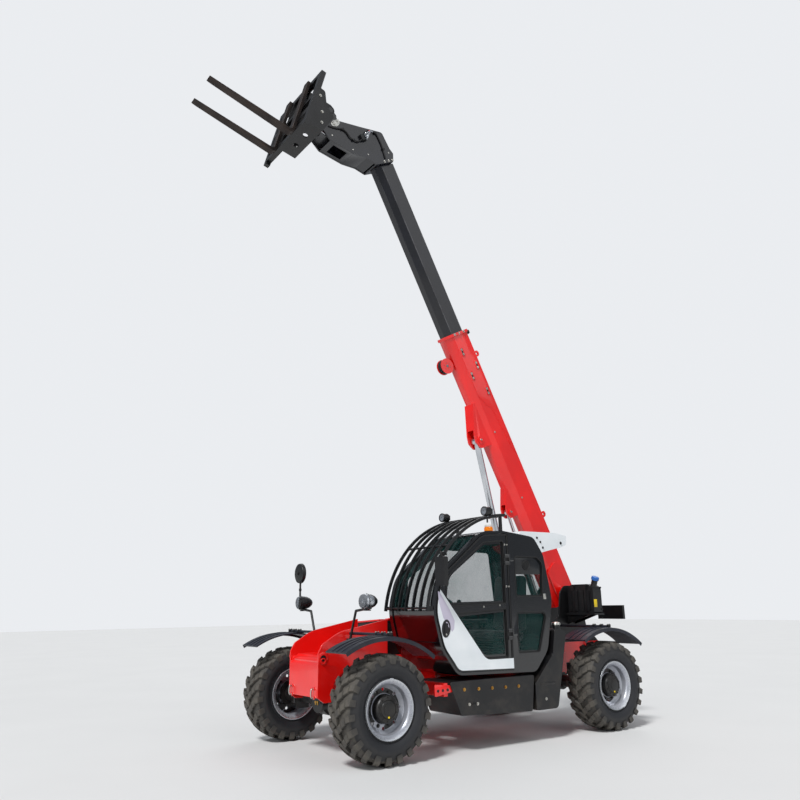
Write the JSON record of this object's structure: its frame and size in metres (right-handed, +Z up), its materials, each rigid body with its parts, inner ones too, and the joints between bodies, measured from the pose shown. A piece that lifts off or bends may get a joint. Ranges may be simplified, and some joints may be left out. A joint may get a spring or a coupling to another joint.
{
  "type": "telehandler",
  "caption": "Telescopic handler with a raised boom, pallet forks, a side cab with a roof guard, four steered wheels and an engine hood.",
  "frame": {"origin": "centre of the bounding box's underside: on the ground under the machine, midway between fork tips and rear", "axes": "+X forward, +Y to the cab's side, +Z up"},
  "size_m": [6.5859, 2.525, 8.3052],
  "materials": {
    "red_paint": "gloss",
    "black_paint": "gloss",
    "satin_black": "satin",
    "white_panel": "gloss",
    "fender_plastic": "matte",
    "tinted_glass": "clear",
    "tyre_rubber": "matte",
    "rim_silver": "satin",
    "axle_iron": "satin",
    "engine_iron": "matte",
    "fork_steel": "worn satin",
    "cylinder_paint": "satin",
    "rod_chrome": "polished",
    "seat_fabric": "woven",
    "cab_plastic": "matte"
  },
  "bodies": {
    "chassis": {"axles": "axle_iron", "cab_frame": "black_paint", "cab_glass": "tinted_glass", "cab_mirror": "cab_plastic", "chassis_frame": "red_paint", "counterweight": "satin_black", "engine": "engine_iron", "fenders": "fender_plastic", "fluid_tank": "cab_plastic", "hood_body": "red_paint", "lamps": "satin_black", "nose": "red_paint", "roof_cap": "white_panel", "roof_guard": "satin_black", "seat": "seat_fabric", "side_box": "black_paint", "side_tank": "black_paint", "steering_column": "cab_plastic"},
    "stage": {"boom_head": "black_paint", "boom_stage": "black_paint", "tilt_cylinder": "cylinder_paint"},
    "boom": {"boom_outer": "red_paint"},
    "carriage_body": {"carriage": "satin_black", "forks": "fork_steel"},
    "cab_door": {"door_frame": "black_paint", "door_glass": "tinted_glass", "door_panel": "white_panel"},
    "hood": {"hood_lid": "red_paint"},
    "steer_front_left": {"knuckle_front_left": "axle_iron"},
    "steer_front_right": {"knuckle_front_right": "axle_iron"},
    "steer_rear_left": {"knuckle_rear_left": "axle_iron"},
    "steer_rear_right": {"knuckle_rear_right": "axle_iron"},
    "level_barrel": {"level_cylinder": "cylinder_paint"},
    "level_piston": {"level_rod": "rod_chrome"},
    "lift_barrel": {"lift_cylinder": "cylinder_paint"},
    "lift_piston": {"lift_rod": "rod_chrome"},
    "tilt_piston": {"tilt_rod": "rod_chrome"},
    "roll_front_left": {"tyre_front_left": "tyre_rubber", "wheel_front_left": "rim_silver"},
    "roll_front_right": {"tyre_front_right": "tyre_rubber", "wheel_front_right": "rim_silver"},
    "roll_rear_left": {"tyre_rear_left": "tyre_rubber", "wheel_rear_left": "rim_silver"},
    "roll_rear_right": {"tyre_rear_right": "tyre_rubber", "wheel_rear_right": "rim_silver"}
  },
  "joints": [
    {"name": "steer_front_left", "type": "hinge", "parent": "chassis", "child": "steer_front_left", "pos_m": [1.327, 0.78, 0.5375], "axis": [0, 0, 1], "range_deg": [-30, 30]},
    {"name": "roll_front_left", "type": "hinge", "parent": "steer_front_left", "child": "roll_front_left", "pos_m": [1.327, 1.015, 0.5375], "axis": [0, 1, 0], "continuous": true},
    {"name": "steer_front_right", "type": "hinge", "parent": "chassis", "child": "steer_front_right", "pos_m": [1.327, -0.78, 0.5375], "axis": [0, 0, 1], "range_deg": [-30, 30]},
    {"name": "roll_front_right", "type": "hinge", "parent": "steer_front_right", "child": "roll_front_right", "pos_m": [1.327, -1.015, 0.5375], "axis": [0, 1, 0], "continuous": true},
    {"name": "steer_rear_left", "type": "hinge", "parent": "chassis", "child": "steer_rear_left", "pos_m": [-2.173, 0.78, 0.5375], "axis": [0, 0, 1], "range_deg": [-30, 30]},
    {"name": "roll_rear_left", "type": "hinge", "parent": "steer_rear_left", "child": "roll_rear_left", "pos_m": [-2.173, 1.015, 0.5375], "axis": [0, 1, 0], "continuous": true},
    {"name": "steer_rear_right", "type": "hinge", "parent": "chassis", "child": "steer_rear_right", "pos_m": [-2.173, -0.78, 0.5375], "axis": [0, 0, 1], "range_deg": [-30, 30]},
    {"name": "roll_rear_right", "type": "hinge", "parent": "steer_rear_right", "child": "roll_rear_right", "pos_m": [-2.173, -1.015, 0.5375], "axis": [0, 1, 0], "continuous": true},
    {"name": "boom_lift", "type": "hinge", "parent": "chassis", "child": "boom", "pos_m": [-2.503, 0, 1.69], "axis": [0, -1, 0], "range_deg": [-65, 2]},
    {"name": "boom_extend", "type": "slide", "parent": "boom", "child": "stage", "axis": [0.4617, 0, 0.887], "range_m": [-2.45, 0.35]},
    {"name": "carriage_tilt", "type": "hinge", "parent": "stage", "child": "carriage_body", "pos_m": [1.54712, 0, 8.07985], "axis": [0, 1, 0], "range_deg": [-67, 50]},
    {"name": "tilt_slide", "type": "slide", "parent": "stage", "child": "tilt_piston", "axis": [0.9539, 0, 0.3002], "range_m": [-0.1504, 0.2008]},
    {"name": "lift_swing", "type": "hinge", "parent": "chassis", "child": "lift_barrel", "pos_m": [-1.733, 0, 0.9], "axis": [0, -1, 0], "range_deg": [-62.5, 2.02]},
    {"name": "lift_slide", "type": "slide", "parent": "lift_barrel", "child": "lift_piston", "axis": [0.23, 0, 0.9732], "range_m": [-1.2603, 0.0397]},
    {"name": "level_swing", "type": "hinge", "parent": "chassis", "child": "level_barrel", "pos_m": [-2.273, 0, 1], "axis": [0, -1, 0], "range_deg": [-51.45, 1.68]},
    {"name": "level_slide", "type": "slide", "parent": "level_barrel", "child": "level_piston", "axis": [0.355, 0, 0.9349], "range_m": [-0.6987, 0.0225]},
    {"name": "cab_door", "type": "hinge", "parent": "chassis", "child": "cab_door", "pos_m": [-0.483, 1.134, 1.5], "axis": [0, 0, 1], "range_deg": [0, 120]},
    {"name": "hood_lid", "type": "hinge", "parent": "chassis", "child": "hood", "pos_m": [-0.423, -0.259, 1.392], "axis": [-1, 0, 0], "range_deg": [0, 60]}
  ],
  "couplings": [
    {"joint": "steer_front_right", "follows": "steer_front_left", "ratio": 1},
    {"joint": "steer_rear_left", "follows": "steer_front_left", "ratio": -1},
    {"joint": "steer_rear_right", "follows": "steer_front_left", "ratio": -1},
    {"joint": "tilt_slide", "follows": "carriage_tilt", "m_per_rad": -0.17},
    {"joint": "lift_swing", "follows": "boom_lift", "ratio": 0.96},
    {"joint": "lift_slide", "follows": "boom_lift", "m_per_rad": 1.11},
    {"joint": "level_swing", "follows": "boom_lift", "ratio": 0.79},
    {"joint": "level_slide", "follows": "boom_lift", "m_per_rad": 0.615}
  ]
}
